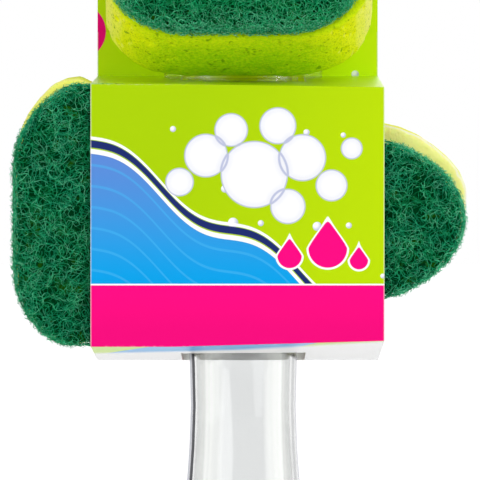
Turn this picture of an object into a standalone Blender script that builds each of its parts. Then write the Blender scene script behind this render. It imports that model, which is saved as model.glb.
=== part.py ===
# A soap-dispensing sponge wand hanging in a folded card sleeve, with a spare head beside it.
# Metres. X runs right, Y back and Z up. The origin is the centre of the hang slot, on the
# printed front face of the back card. "Forward" below is the distance in front of that face.
import math

import bmesh
import bpy
from mathutils import Matrix, Vector

SEAT_GAP = 0.0003
OVERRUN = 0.003

# Card: the back card and the sleeve folded in front of it
CARD_THICKNESS = 0.0004
CARD_WIDTH = 0.0700
CARD_CORNER = 0.0040
CARD_ABOVE_SLOT = 0.0150
SLOT_ABOVE_TOE = 0.0160
SHOULDER_FALL = 0.0039
FLOOR_RISE = 0.0046
GLUE_FLAP = 0.0110
TAPER_START = 0.0200
TAPER_TOP = 0.0007
TAPER_FLOOR = 0.0014
CUTOUT_SIDE_CLEAR = 0.0008
CUTOUT_FRONT_CLEAR = 0.0038
SLOT_LENGTH = 0.0300
SLOT_HEIGHT = 0.0060
SLOT_BUMP_RADIUS = 0.0048

# Wand: the clear bottle that is handle and foot in one
WAND_SIDE = 0.0014
WAND_BACK_CLEAR = 0.0014
BOTTLE_WALL = 0.0016
TOP_RADIUS = 0.0136
SLEEVED_RADIUS = 0.0140
WAIST_RADIUS = 0.01295
BELLY_RADIUS = 0.0144
TOP_STRETCH = 0.0500
WAIST_STRETCH = 0.0320
SWELL_STRETCH = 0.0300
BELLY_STRETCH = 0.0220
ROUND_HEIGHT = 0.0100
TOP_RISE = 0.0030
FOOT_BEARING = 0.0043
FOOT_LENGTH = 0.0780
FOOT_NEAR = 0.0050
FOOT_BACK_CLEAR = 0.0011
FOOT_SQUARENESS = 3.0

# Refill neck, its thread and the cap
NECK_RADIUS = 0.0096
NECK_HEIGHT = 0.0140
NECK_WALL = 0.0020
THREAD_LEAD = 0.0040
THREAD_HEIGHT = 0.0010
THREAD_ROOT = 0.0022
THREAD_CREST = 0.0010
THREAD_TURNS = 1.5
THREAD_FROM_MOUTH = 0.0030
CAP_WALL = 0.0031
CAP_FLOOR = 0.0018
CAP_EDGE = 0.0012
CAP_RIBS = 24
CAP_RIB_DEPTH = 0.0005
GASKET_THICKNESS = 0.0012
GASKET_WIDTH = 0.0028

# Heads: a base plate, foam and a scouring pad of one egg-shaped outline
HEAD_LENGTH = 0.1065
HEAD_WIDTH = 0.0645
WIDEST_AT = 0.0330
HEEL_CORNER_LENGTH = 0.0155
HEEL_CORNER_WIDTH = 0.0200
NOSE_LENGTH = 0.0190
NOSE_WIDTH = 0.0386
NOSE_POWER = 1.6
BASE_INSET = 0.0060
BASE_THICKNESS = 0.0025
BASE_EDGE = 0.0006
FOAM_THICKNESS = 0.0220
FOAM_BACK_ROUND = 0.0028
FOAM_FRONT_ROUND = 0.0010
SCOURER_THICKNESS = 0.0060
SCOURER_ROUND = 0.0016
SOCKET_WALL = 0.0016
SOCKET_SHORT = 0.0002
WELL_CLEAR = 0.0011

# How the two heads lie
HEAD_TILT = math.radians(24.0)
TOE_CLEAR = 0.0011
HEEL_BELOW_FOLD = 0.0008
FOAM_SIDE = -0.0020
SPARE_LEFT = 0.0530
SPARE_LEAN = math.radians(3.0)
SPARE_ROOM = 0.00035
SPARE_SQUEEZE = 0.0034

# Spout: the outlet in the foot, with its ring and valve
SPOUT_AT = 0.0480
SPOUT_RADIUS = 0.0070
SPOUT_WALL = 0.0014
VALVE_SEAT = 0.0016
STEM_STEP = 0.0011
STEM_LENGTH = 0.0045
FLANGE_THICKNESS = 0.0009
GROOVE_DEPTH = 0.0006
SPOUT_END = 0.0026
O_RING_THICKNESS = 0.0016
VALVE_THICKNESS = 0.0008
VALVE_HOLE_RADIUS = 0.0006
VALVE_DOME = 0.0016
VALVE_RING_THICKNESS = 0.0008
VALVE_RING_WIDTH = 0.0021

# How finely round things are divided
TURN_STEPS = 40
SMALL_STEPS = 32
OUTLINE_STEPS = 7
BLEND_STEPS = 3
FOOT_RINGS = 10
THREAD_STEPS = 24

# Spout, socket and head, measured out from the foot's face
GROOVE_RADIUS = SPOUT_RADIUS - GROOVE_DEPTH
O_RING_RADIUS = GROOVE_RADIUS + SEAT_GAP + O_RING_THICKNESS / 2
SOCKET_RADIUS = O_RING_RADIUS + O_RING_THICKNESS / 2 + SEAT_GAP
FLANGE_RADIUS = SOCKET_RADIUS - SEAT_GAP
STEM_RADIUS = SPOUT_RADIUS - STEM_STEP
VALVE_POCKET_RADIUS = SPOUT_RADIUS - SPOUT_WALL
SPOUT_BORE = VALVE_POCKET_RADIUS - VALVE_SEAT
GROOVE_START = SEAT_GAP + FLANGE_THICKNESS
GROOVE_END = GROOVE_START + SEAT_GAP + O_RING_THICKNESS + SEAT_GAP
SPOUT_TIP = GROOVE_END + SPOUT_END
VALVE_BACK = SPOUT_TIP - VALVE_RING_THICKNESS - SEAT_GAP - VALVE_THICKNESS
BASE_TOP = SEAT_GAP + BASE_THICKNESS
FOAM_BACK = BASE_TOP + SEAT_GAP
SCOURER_BACK = FOAM_BACK + FOAM_THICKNESS + SEAT_GAP
SCOURER_FACE = SCOURER_BACK + SCOURER_THICKNESS

# Wand and card, measured forward from the back card
WAND_FORWARD = BELLY_RADIUS + WAND_BACK_CLEAR
CUTOUT_WIDTH = 2 * (BELLY_RADIUS + CUTOUT_SIDE_CLEAR)
CUTOUT_DEPTH = WAND_FORWARD + BELLY_RADIUS + CUTOUT_FRONT_CLEAR
FOOT_WIDTH = CUTOUT_WIDTH + 2 * FOOT_BEARING
FOOT_BACK = SEAT_GAP + CARD_THICKNESS + FOOT_BACK_CLEAR
HEEL_FORWARD = TOE_CLEAR + HEAD_LENGTH * math.sin(HEAD_TILT)
SPARE_WIDTH = HEAD_WIDTH - SPARE_SQUEEZE
SPARE_BASE_DROP = (HEAD_WIDTH / 2 - BASE_INSET) * math.sin(SPARE_LEAN)
SPARE_FORWARD = WAND_FORWARD + BELLY_RADIUS + SEAT_GAP + SPARE_BASE_DROP
SPARE_REACH = SCOURER_FACE * math.cos(SPARE_LEAN) + SPARE_WIDTH / 2 * math.sin(SPARE_LEAN)
SLEEVE_DEPTH = SPARE_FORWARD + SPARE_REACH + SEAT_GAP + CARD_THICKNESS

# Heights
HEAD_RISE = HEAD_LENGTH * math.cos(HEAD_TILT) + (SCOURER_FACE - FOAM_BACK) * math.sin(HEAD_TILT)
SHOULDER_BACK_Z = -(SLOT_ABOVE_TOE + HEAD_RISE - HEEL_BELOW_FOLD)
SHOULDER_FRONT_Z = SHOULDER_BACK_Z - SHOULDER_FALL
SHOULDER_SLOPE = SHOULDER_FALL / SLEEVE_DEPTH
SPARE_HEIGHT = SPARE_WIDTH * math.cos(SPARE_LEAN)
FLOOR_FRONT_Z = SHOULDER_FRONT_Z - SPARE_HEIGHT - 2 * (SPARE_ROOM + CARD_THICKNESS)
FLOOR_BACK_Z = FLOOR_FRONT_Z - FLOOR_RISE
SPARE_FACE_DROP = SCOURER_FACE * math.sin(SPARE_LEAN)
SPARE_Z = SHOULDER_FRONT_Z - CARD_THICKNESS - SPARE_ROOM - SPARE_HEIGHT / 2 + SPARE_FACE_DROP
GRIP_LENGTH = TOP_STRETCH + WAIST_STRETCH + SWELL_STRETCH + BELLY_STRETCH + ROUND_HEIGHT
NECK_TOP_Z = SHOULDER_BACK_Z - GRIP_LENGTH
MOUTH_Z = NECK_TOP_Z - NECK_HEIGHT
CAP_RADIUS = NECK_RADIUS + THREAD_HEIGHT + SEAT_GAP + CAP_WALL


def clear_scene():
    for obj in list(bpy.data.objects):
        bpy.data.objects.remove(obj, do_unlink=True)


def make_collection(name):
    collection = bpy.data.collections.new(name)
    bpy.context.scene.collection.children.link(collection)
    return collection


def make_material(name, colour, roughness, transmission=0.0):
    material = bpy.data.materials.new(name)
    material.use_nodes = True
    material.diffuse_color = (*colour, 1.0)
    shader = material.node_tree.nodes["Principled BSDF"]
    shader.inputs["Base Color"].default_value = (*colour, 1.0)
    shader.inputs["Roughness"].default_value = roughness
    shader.inputs["Metallic"].default_value = 0.0
    shader.inputs["Transmission Weight"].default_value = transmission
    return material


def make_empty(name, matrix, collection, parent=None):
    empty = bpy.data.objects.new(name, None)
    collection.objects.link(empty)
    empty.parent = parent
    empty.matrix_world = matrix
    return empty


def make_object(name, data, collection, parent=None, material=None):
    """An object whose points are in its parent's frame."""
    obj = bpy.data.objects.new(name, data)
    collection.objects.link(obj)
    obj.parent = parent
    if material:
        data.materials.append(material)
    return obj


def as_cutter(obj):
    obj.hide_render = True
    obj.display_type = "WIRE"
    return obj


def shade_round(mesh):
    mesh.shade_smooth()
    mesh.set_sharp_from_angle(angle=math.radians(35.0))


def loft(name, rings):
    """A closed mesh through rings of as many points each, with flat ends. The first ring's
    points run anticlockwise as seen from the last."""
    mesh = bpy.data.meshes.new(name)
    work = bmesh.new()
    rows = [[work.verts.new(point) for point in ring] for ring in rings]
    count = len(rows[0])
    for low, high in zip(rows, rows[1:]):
        for i in range(count):
            j = (i + 1) % count
            work.faces.new((low[i], low[j], high[j], high[i]))
    work.faces.new(list(reversed(rows[0])))
    work.faces.new(rows[-1])
    bmesh.ops.recalc_face_normals(work, faces=work.faces)
    work.to_mesh(mesh)
    work.free()
    shade_round(mesh)
    return mesh


def profile_mesh(name, points, closed):
    mesh = bpy.data.meshes.new(name)
    edges = [(i, i + 1) for i in range(len(points) - 1)]
    if closed:
        edges.append((len(points) - 1, 0))
    mesh.from_pydata([(radius, 0, height) for radius, height in points], edges, [])
    return mesh


def turn(obj, steps):
    """Turns a profile about the object's own Z axis."""
    screw = obj.modifiers.new("turn", "SCREW")
    screw.steps = screw.render_steps = steps
    screw.use_merge_vertices = True
    screw.merge_threshold = 0.00001
    screw.use_smooth_shade = True
    return obj


def boolean(obj, operation, other):
    modifier = obj.modifiers.new(f"{operation.lower()} {other.name}", "BOOLEAN")
    modifier.operation = operation
    modifier.object = other


def turned_ring(name, points, collection, parent, material, steps=SMALL_STEPS):
    """A turned piece with a hole: its profile runs down the outside and back up the inside."""
    data = profile_mesh(name, points, closed=True)
    return turn(make_object(name, data, collection, parent, material), steps)


def turned_solid(name, points, collection, parent, steps=SMALL_STEPS):
    """A turned solid whose profile starts and ends on the axis, top to bottom."""
    return turn(make_object(name, profile_mesh(name, points, closed=False), collection, parent), steps)


def rod_profile(radius, top, bottom):
    return [(0, top), (radius, top), (radius, bottom), (0, bottom)]


def box_mesh(name, low, high):
    mesh = bpy.data.meshes.new(name)
    work = bmesh.new()
    bmesh.ops.create_cube(work, size=1.0)
    middle = (Vector(low) + Vector(high)) / 2
    size = Matrix.Diagonal((*(Vector(high) - Vector(low)), 1.0))
    bmesh.ops.transform(work, matrix=Matrix.Translation(middle) @ size, verts=work.verts)
    work.to_mesh(mesh)
    work.free()
    return mesh


# Card

def arc(centre_x, centre_y, radius, start, end, steps):
    """Points of an arc, from one angle in degrees to another."""
    points = []
    for i in range(steps + 1):
        angle = math.radians(start + (end - start) * i / steps)
        points.append((centre_x + radius * math.cos(angle), centre_y + radius * math.sin(angle)))
    return points


def add_flat_spline(curve, points):
    spline = curve.splines.new("POLY")
    spline.points.add(len(points) - 1)
    for target, (x, y) in zip(spline.points, points):
        target.co = (x, y, 0.0, 1.0)
    spline.use_cyclic_u = True


def card_outline():
    side = CARD_WIDTH / 2
    inner = side - CARD_CORNER
    top = CARD_ABOVE_SLOT - CARD_CORNER
    corner = arc(inner, top, CARD_CORNER, 0, 90, OUTLINE_STEPS)
    corner += arc(-inner, top, CARD_CORNER, 90, 180, OUTLINE_STEPS)
    return corner + [(-side, FLOOR_BACK_Z), (side, FLOOR_BACK_Z)]


def slot_outline():
    """A long hang slot with a round bump in its middle, which finds the hook."""
    end = (SLOT_LENGTH - SLOT_HEIGHT) / 2
    half = SLOT_HEIGHT / 2
    meet = math.degrees(math.asin(half / SLOT_BUMP_RADIUS))
    return (
        arc(end, 0, half, -90, 90, OUTLINE_STEPS)
        + arc(0, 0, SLOT_BUMP_RADIUS, meet, 180 - meet, OUTLINE_STEPS)
        + arc(-end, 0, half, 90, 270, OUTLINE_STEPS)
    )


def build_header_card(collection, material):
    curve = bpy.data.curves.new("header_card", "CURVE")
    curve.dimensions = "2D"
    curve.fill_mode = "BOTH"
    curve.extrude = CARD_THICKNESS / 2
    add_flat_spline(curve, card_outline())
    add_flat_spline(curve, slot_outline())
    card = make_object("header_card", curve, collection, material=material)
    card.rotation_euler = (math.pi / 2, 0, 0)
    card.location = (0, CARD_THICKNESS / 2, 0)


def sleeve_profile(top_drop, floor_lift):
    """(forward, height) of the sleeve's outer face, from the glue flap that stands above the
    shoulder, round the front, to the flap that is tucked up inside."""
    return [
        (SEAT_GAP + CARD_THICKNESS, SHOULDER_BACK_Z + GLUE_FLAP),
        (SEAT_GAP + CARD_THICKNESS, SHOULDER_BACK_Z),
        (SLEEVE_DEPTH, SHOULDER_FRONT_Z - top_drop),
        (SLEEVE_DEPTH, FLOOR_FRONT_Z + floor_lift),
        (SEAT_GAP, FLOOR_BACK_Z),
        (SEAT_GAP, FLOOR_BACK_Z + GLUE_FLAP),
    ]


def build_sleeve_card(collection, cutters, material):
    side = CARD_WIDTH / 2
    columns = (
        (-side, sleeve_profile(0, 0)),
        (TAPER_START - side, sleeve_profile(0, 0)),
        (side, sleeve_profile(TAPER_TOP, TAPER_FLOOR)),
    )
    mesh = bpy.data.meshes.new("sleeve_card")
    work = bmesh.new()
    rows = [[work.verts.new((x, -forward, z)) for forward, z in profile] for x, profile in columns]
    for left, right in zip(rows, rows[1:]):
        for i in range(len(left) - 1):
            work.faces.new((left[i], left[i + 1], right[i + 1], right[i]))
    work.to_mesh(mesh)
    work.free()
    sleeve = make_object("sleeve_card", mesh, collection, material=material)
    wall = sleeve.modifiers.new("card", "SOLIDIFY")
    wall.thickness = CARD_THICKNESS
    wall.offset = -1.0
    wall.use_even_offset = True
    left, right = WAND_SIDE - CUTOUT_WIDTH / 2, WAND_SIDE + CUTOUT_WIDTH / 2
    bottom = FLOOR_BACK_Z - OVERRUN
    top = SHOULDER_BACK_Z + GLUE_FLAP + OVERRUN
    mesh = box_mesh("handle_cutout", (left, -CUTOUT_DEPTH, bottom), (right, OVERRUN, top))
    boolean(sleeve, "DIFFERENCE", as_cutter(make_object("handle_cutout", mesh, cutters)))


# Heads

def half_width_at(along):
    """Half the head's width, at a distance from its heel."""
    half = HEAD_WIDTH / 2
    nose_start = HEAD_LENGTH - NOSE_LENGTH
    if along < HEEL_CORNER_LENGTH:
        share = 1 - along / HEEL_CORNER_LENGTH
        return half - HEEL_CORNER_WIDTH * (1 - math.sqrt(1 - share**2))
    if along < WIDEST_AT:
        return half
    if along < nose_start:
        share = (along - WIDEST_AT) / (nose_start - WIDEST_AT)
        return half - (half - NOSE_WIDTH / 2) * share**2
    share = (along - nose_start) / NOSE_LENGTH
    return NOSE_WIDTH / 2 * math.sqrt(max(0.0, 1 - share**NOSE_POWER))


def stations_along():
    """Distances from the heel, closer together round the corners and the nose."""
    steps = range(OUTLINE_STEPS)
    nose_start = HEAD_LENGTH - NOSE_LENGTH
    heel = [HEEL_CORNER_LENGTH * (1 - math.cos(math.pi / 2 * i / OUTLINE_STEPS)) for i in steps]
    flank = [WIDEST_AT + (nose_start - WIDEST_AT) * i / OUTLINE_STEPS for i in steps]
    nose = [nose_start + NOSE_LENGTH * math.sin(math.pi / 2 * i / OUTLINE_STEPS) for i in steps]
    return heel + [HEEL_CORNER_LENGTH] + flank + nose + [HEAD_LENGTH]


def head_ring(inset, height):
    """The head's outline drawn in by an inset, anticlockwise from the heel. X is across, Y is
    from heel to toe and Z is out of the scouring face."""
    length_share = 1 - 2 * inset / HEAD_LENGTH
    width_share = 1 - 2 * inset / HEAD_WIDTH
    stations = stations_along()
    right = [(half_width_at(along) * width_share, inset + along * length_share) for along in stations]
    left = [(-across, along) for across, along in reversed(right[:-1])]
    return [Vector((across, along, height)) for across, along in right + left]


def pad_mesh(name, bottom, top, bottom_round, top_round, inset=0.0):
    """The head's outline as a thick pad with rounded rims."""
    rings = []
    angles = [math.pi / 2 * i / BLEND_STEPS for i in range(BLEND_STEPS + 1)]
    for angle in angles:
        drawn_in = bottom_round * (1 - math.sin(angle))
        rings.append(head_ring(inset + drawn_in, bottom + bottom_round * (1 - math.cos(angle))))
    for angle in angles:
        drawn_in = top_round * (1 - math.cos(angle))
        rings.append(head_ring(inset + drawn_in, top - top_round * (1 - math.sin(angle))))
    return loft(name, rings)


def build_head(prefix, frame, foam_side, pad_width, collection, cutters, materials):
    """One refill head. Its frame lies on the foot's outer face, at the heel. The sleeve
    squeezes the spare one's pads to less than their free width."""
    spout = make_empty(f"{prefix}_spout_axis", frame @ Matrix.Translation((0, SPOUT_AT, 0)), collection)
    squeezed = Matrix.Diagonal((pad_width / HEAD_WIDTH, 1, 1, 1))
    placed = frame @ Matrix.Translation((foam_side, 0, 0)) @ squeezed
    pad = make_empty(f"{prefix}_pad_frame", placed, collection)
    plate = make_empty(f"{prefix}_plate_frame", frame, collection)

    mesh = pad_mesh(f"{prefix}_base", SEAT_GAP, BASE_TOP, BASE_EDGE, BASE_EDGE, BASE_INSET)
    base = make_object(f"{prefix}_head_base", mesh, collection, plate, materials["base"])
    socket_outside = SOCKET_RADIUS + SOCKET_WALL
    socket_top = SPOUT_TIP - SOCKET_SHORT
    rooted = BASE_TOP - BASE_THICKNESS / 2
    profile = rod_profile(socket_outside, socket_top, rooted)
    outside = turned_solid(f"{prefix}_socket_outside", profile, cutters, spout)
    boolean(base, "UNION", as_cutter(outside))
    profile = rod_profile(SOCKET_RADIUS, socket_top + OVERRUN, -OVERRUN)
    boolean(base, "DIFFERENCE", as_cutter(turned_solid(f"{prefix}_socket_bore", profile, cutters, spout)))

    front = FOAM_BACK + FOAM_THICKNESS
    mesh = pad_mesh(f"{prefix}_foam", FOAM_BACK, front, FOAM_BACK_ROUND, FOAM_FRONT_ROUND)
    foam = make_object(f"{prefix}_sponge", mesh, collection, pad, materials["foam"])
    well_radius = socket_outside + SEAT_GAP
    well_top = SPOUT_TIP + WELL_CLEAR
    profile = rod_profile(well_radius, well_top, 0)
    boolean(foam, "DIFFERENCE", as_cutter(turned_solid(f"{prefix}_well", profile, cutters, spout)))

    mesh = pad_mesh(f"{prefix}_scourer", SCOURER_BACK, SCOURER_FACE, SCOURER_ROUND, SCOURER_ROUND)
    make_object(f"{prefix}_scourer", mesh, collection, pad, materials["scourer"])


def frame_of(origin, along, outward):
    """A frame whose Y runs from heel to toe and whose Z runs out of the scouring face."""
    across = Vector(along).cross(Vector(outward))
    turned = Matrix((across, Vector(along), Vector(outward))).transposed()
    return Matrix.Translation(origin) @ turned.to_4x4()


def fitted_frame():
    sine, cosine = math.sin(HEAD_TILT), math.cos(HEAD_TILT)
    outward = (0, -cosine, sine)
    heel = Vector((WAND_SIDE, -HEEL_FORWARD, SHOULDER_BACK_Z - HEEL_BELOW_FOLD))
    return frame_of(heel - FOAM_BACK * Vector(outward), (0, sine, cosine), outward)


def spare_frame():
    outward = (0, -math.cos(SPARE_LEAN), -math.sin(SPARE_LEAN))
    heel = Vector((-SPARE_LEFT, -SPARE_FORWARD, SPARE_Z))
    return frame_of(heel, (1, 0, 0), outward)


# Wand

def blend(start, end, share):
    return start + (end - start) * (1 - math.cos(math.pi * share)) / 2


def grip_profile(inset):
    """(radius, z) down the handle, from inside the foot to the top of the neck."""
    stretches = (
        (TOP_STRETCH, TOP_RADIUS, SLEEVED_RADIUS),
        (WAIST_STRETCH, SLEEVED_RADIUS, WAIST_RADIUS),
        (SWELL_STRETCH, WAIST_RADIUS, BELLY_RADIUS),
    )
    points = [(TOP_RADIUS - inset, SHOULDER_BACK_Z + TOP_RISE + inset)]
    z = SHOULDER_BACK_Z
    for length, start, end in stretches:
        for i in range(BLEND_STEPS):
            points.append((blend(start, end, i / BLEND_STEPS) - inset, z - length * i / BLEND_STEPS))
        z -= length
    points.append((BELLY_RADIUS - inset, z))
    z -= BELLY_STRETCH
    narrowing = BELLY_RADIUS - NECK_RADIUS
    for i in range(2 * BLEND_STEPS + 1):
        angle = math.pi / 2 * i / (2 * BLEND_STEPS)
        radius = BELLY_RADIUS - narrowing * (1 - math.cos(angle)) - inset
        points.append((radius, z - (ROUND_HEIGHT - inset) * math.sin(angle)))
    return points


def foot_mesh(name, frame, inset):
    """The foot: oval rings that fan out from the underside that rests on the card to the
    oblique face that carries the head. Its walls are drawn in by the inset."""
    under = math.atan(SHOULDER_SLOPE)
    face = math.pi / 2 - HEAD_TILT
    half_fan = (face - under) / 2
    origin = frame.translation
    along = frame.to_3x3() @ Vector((0, 1, 0))
    seat = SHOULDER_BACK_Z + SEAT_GAP + SHOULDER_SLOPE * origin.y
    corner = origin - along * (origin.z - seat) / (along.z - SHOULDER_SLOPE * along.y)
    shift = inset / math.sin(half_fan)
    corner = corner + shift * Vector((0, math.cos(under + half_fan), math.sin(under + half_fan)))
    longest = FOOT_LENGTH - shift * math.cos(half_fan) - inset
    half_width = FOOT_WIDTH / 2 - inset
    rings = []
    for i in range(FOOT_RINGS + 1):
        angle = under + (face - under) * i / FOOT_RINGS
        radial = Vector((0, math.cos(angle), math.sin(angle)))
        far = min(longest, (-corner.y - FOOT_BACK - inset) / math.cos(angle))
        middle = corner + radial * (far + FOOT_NEAR) / 2
        half_length = (far - FOOT_NEAR) / 2
        ring = []
        for k in range(TURN_STEPS):
            turn_angle = 2 * math.pi * k / TURN_STEPS
            x = rounded_share(math.cos(turn_angle)) * half_width
            reach = rounded_share(math.sin(turn_angle)) * half_length
            ring.append(middle + Vector((x, 0, 0)) + radial * reach)
        rings.append(ring)
    return loft(name, rings)


def rounded_share(value):
    return math.copysign(abs(value) ** (2 / FOOT_SQUARENESS), value)


def thread_mesh(name, radius, clearance, start_z, turns):
    """A right-handed helical ridge on the neck, as a solid sunk into it. The groove that takes
    it is the same ridge, larger by a clearance and begun that much sooner."""
    rings = []
    steps = int(math.ceil(THREAD_STEPS * turns))
    root = THREAD_ROOT / 2 + clearance
    crest = THREAD_CREST / 2 + clearance
    sunk = radius - NECK_WALL / 2
    height = THREAD_HEIGHT + clearance
    sooner = clearance / radius
    for i in range(steps + 1):
        angle = (2 * math.pi * turns + sooner) * i / steps - sooner
        z = start_z + THREAD_LEAD * angle / (2 * math.pi)
        across = Vector((math.cos(angle), math.sin(angle), 0))
        section = ((sunk, -root), (radius + height, -crest), (radius + height, crest), (sunk, root))
        rings.append([across * out + Vector((0, 0, z + up)) for out, up in section])
    return loft(name, rings)


def build_bottle(frame, collection, cutters, axis, material):
    profile = [(0, SHOULDER_BACK_Z + TOP_RISE)] + grip_profile(0)
    profile += [(NECK_RADIUS, MOUTH_Z), (0, MOUTH_Z)]
    bottle = turned_solid("handle_bottle", profile, collection, axis, TURN_STEPS)
    bottle.data.materials.append(material)
    foot = make_object("foot_outside", foot_mesh("foot_outside", frame, 0), cutters)
    boolean(bottle, "UNION", as_cutter(foot))
    start = MOUTH_Z + THREAD_FROM_MOUTH
    ridge = thread_mesh("thread_ridge", NECK_RADIUS, 0, start, THREAD_TURNS)
    boolean(bottle, "UNION", as_cutter(make_object("thread_ridge", ridge, cutters, axis)))

    bore_radius = NECK_RADIUS - NECK_WALL
    top = SHOULDER_BACK_Z + TOP_RISE + BOTTLE_WALL + SEAT_GAP
    profile = [(0, top)] + [(max(radius, bore_radius), z) for radius, z in grip_profile(BOTTLE_WALL)]
    profile += [(bore_radius, MOUTH_Z - OVERRUN), (0, MOUTH_Z - OVERRUN)]
    bore = turned_solid("bottle_bore", profile, cutters, axis, TURN_STEPS)
    boolean(bottle, "DIFFERENCE", as_cutter(bore))
    hollow = make_object("foot_inside", foot_mesh("foot_inside", frame, BOTTLE_WALL), cutters)
    boolean(bottle, "DIFFERENCE", as_cutter(hollow))
    spout = make_empty("spout_hole_axis", frame @ Matrix.Translation((0, SPOUT_AT, 0)), cutters)
    hole_radius = STEM_RADIUS + SEAT_GAP
    profile = rod_profile(hole_radius, OVERRUN, -OVERRUN)
    boolean(bottle, "DIFFERENCE", as_cutter(turned_solid("spout_hole", profile, cutters, spout)))


def build_spout(frame, collection, materials):
    axis = make_empty("spout_axis", frame @ Matrix.Translation((0, SPOUT_AT, 0)), collection)
    profile = [
        (SPOUT_RADIUS, SPOUT_TIP), (SPOUT_RADIUS, GROOVE_END), (GROOVE_RADIUS, GROOVE_END),
        (GROOVE_RADIUS, GROOVE_START), (FLANGE_RADIUS, GROOVE_START), (FLANGE_RADIUS, SEAT_GAP),
        (STEM_RADIUS, SEAT_GAP), (STEM_RADIUS, -STEM_LENGTH), (SPOUT_BORE, -STEM_LENGTH),
        (SPOUT_BORE, VALVE_BACK - SEAT_GAP), (VALVE_POCKET_RADIUS, VALVE_BACK - SEAT_GAP),
        (VALVE_POCKET_RADIUS, SPOUT_TIP),
    ]
    turned_ring("spout_insert", profile, collection, axis, materials["fitting"])

    middle = (GROOVE_START + GROOVE_END) / 2
    half = O_RING_THICKNESS / 2
    turns = [-2 * math.pi * i / (4 * BLEND_STEPS) for i in range(4 * BLEND_STEPS)]
    profile = [(O_RING_RADIUS + half * math.cos(turn), middle + half * math.sin(turn)) for turn in turns]
    turned_ring("spout_o_ring", profile, collection, axis, materials["seal"])

    outside = VALVE_POCKET_RADIUS - SEAT_GAP
    front = VALVE_BACK + VALVE_THICKNESS
    dome = SPOUT_BORE - SEAT_GAP
    profile = [
        (VALVE_HOLE_RADIUS, front), (outside, front), (outside, VALVE_BACK), (dome, VALVE_BACK),
        (dome / 2, VALVE_BACK - VALVE_DOME), (VALVE_HOLE_RADIUS, VALVE_BACK - VALVE_DOME),
    ]
    turned_ring("dosing_valve", profile, collection, axis, materials["silicone"])
    ring_back = front + SEAT_GAP
    inside = outside - VALVE_RING_WIDTH
    profile = [(inside, SPOUT_TIP), (outside, SPOUT_TIP), (outside, ring_back), (inside, ring_back)]
    turned_ring("valve_ring", profile, collection, axis, materials["fitting"])


def cap_ring(radius, depth, z):
    points = []
    count = 4 * CAP_RIBS
    for i in range(count):
        angle = 2 * math.pi * i / count
        ribbed = radius - depth * (1 - math.cos(CAP_RIBS * angle)) / 2
        points.append(Vector((ribbed * math.cos(angle), ribbed * math.sin(angle), z)))
    return points


def build_cap(collection, cutters, axis, materials):
    inner_floor = MOUTH_Z - SEAT_GAP - GASKET_THICKNESS - SEAT_GAP
    bottom = inner_floor - CAP_FLOOR
    top = NECK_TOP_Z - SEAT_GAP
    smooth = CAP_RADIUS - CAP_EDGE
    shoulder = CAP_RADIUS - CAP_EDGE / 3
    rings = [
        cap_ring(smooth, 0, bottom),
        cap_ring(shoulder, CAP_RIB_DEPTH, bottom + CAP_EDGE / 3),
        cap_ring(CAP_RADIUS, CAP_RIB_DEPTH, bottom + CAP_EDGE),
        cap_ring(CAP_RADIUS, CAP_RIB_DEPTH, top - CAP_EDGE),
        cap_ring(shoulder, CAP_RIB_DEPTH, top - CAP_EDGE / 3),
        cap_ring(smooth, 0, top),
    ]
    cap = make_object("refill_cap", loft("refill_cap", rings), collection, axis, materials["cap"])
    bore = NECK_RADIUS + SEAT_GAP
    profile = rod_profile(bore, top + OVERRUN, inner_floor)
    boolean(cap, "DIFFERENCE", as_cutter(turned_solid("cap_bore", profile, cutters, axis, TURN_STEPS)))
    start = MOUTH_Z + THREAD_FROM_MOUTH
    turns = (top + OVERRUN - start) / THREAD_LEAD
    groove = thread_mesh("thread_groove", NECK_RADIUS, SEAT_GAP, start, turns)
    boolean(cap, "DIFFERENCE", as_cutter(make_object("thread_groove", groove, cutters, axis)))

    outside = NECK_RADIUS
    inside = outside - GASKET_WIDTH
    high = MOUTH_Z - SEAT_GAP
    low = high - GASKET_THICKNESS
    profile = [(inside, high), (outside, high), (outside, low), (inside, low)]
    turned_ring("cap_gasket", profile, collection, axis, materials["seal"])


def main():
    clear_scene()
    collection = make_collection("soap_dispensing_sponge")
    cutters = make_collection("cutters")
    materials = {
        "card": make_material("printed_card", (0.50, 0.72, 0.01), 0.25),
        "sleeve": make_material("sleeve_card_print", (0.55, 0.76, 0.01), 0.25),
        "clear": make_material("clear_plastic", (0.93, 0.95, 0.96), 0.05, transmission=1.0),
        "fitting": make_material("white_fitting", (0.85, 0.86, 0.86), 0.35),
        "silicone": make_material("valve_silicone", (0.80, 0.82, 0.82), 0.50),
        "seal": make_material("seal_rubber", (0.12, 0.12, 0.12), 0.60),
        "base": make_material("head_base_plastic", (0.80, 0.82, 0.80), 0.40),
        "foam": make_material("yellow_foam", (0.75, 0.85, 0.04), 0.90),
        "scourer": make_material("green_scourer", (0.00, 0.16, 0.07), 0.80),
        "cap": make_material("cap_plastic", (0.85, 0.86, 0.86), 0.35),
    }
    build_header_card(collection, materials["card"])
    build_sleeve_card(collection, cutters, materials["sleeve"])
    fitted = fitted_frame()
    build_head("fitted", fitted, FOAM_SIDE, HEAD_WIDTH, collection, cutters, materials)
    build_head("spare", spare_frame(), 0.0, SPARE_WIDTH, collection, cutters, materials)
    axis = make_empty("wand_axis", Matrix.Translation((WAND_SIDE, -WAND_FORWARD, 0)), collection)
    build_bottle(fitted, collection, cutters, axis, materials["clear"])
    build_spout(fitted, collection, materials)
    build_cap(collection, cutters, axis, materials)
    bpy.context.view_layer.update()


main()
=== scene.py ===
import math

import bpy
import numpy as np
from mathutils import Matrix, Vector, noise
from mathutils.bvhtree import BVHTree
from mathutils.kdtree import KDTree


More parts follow.
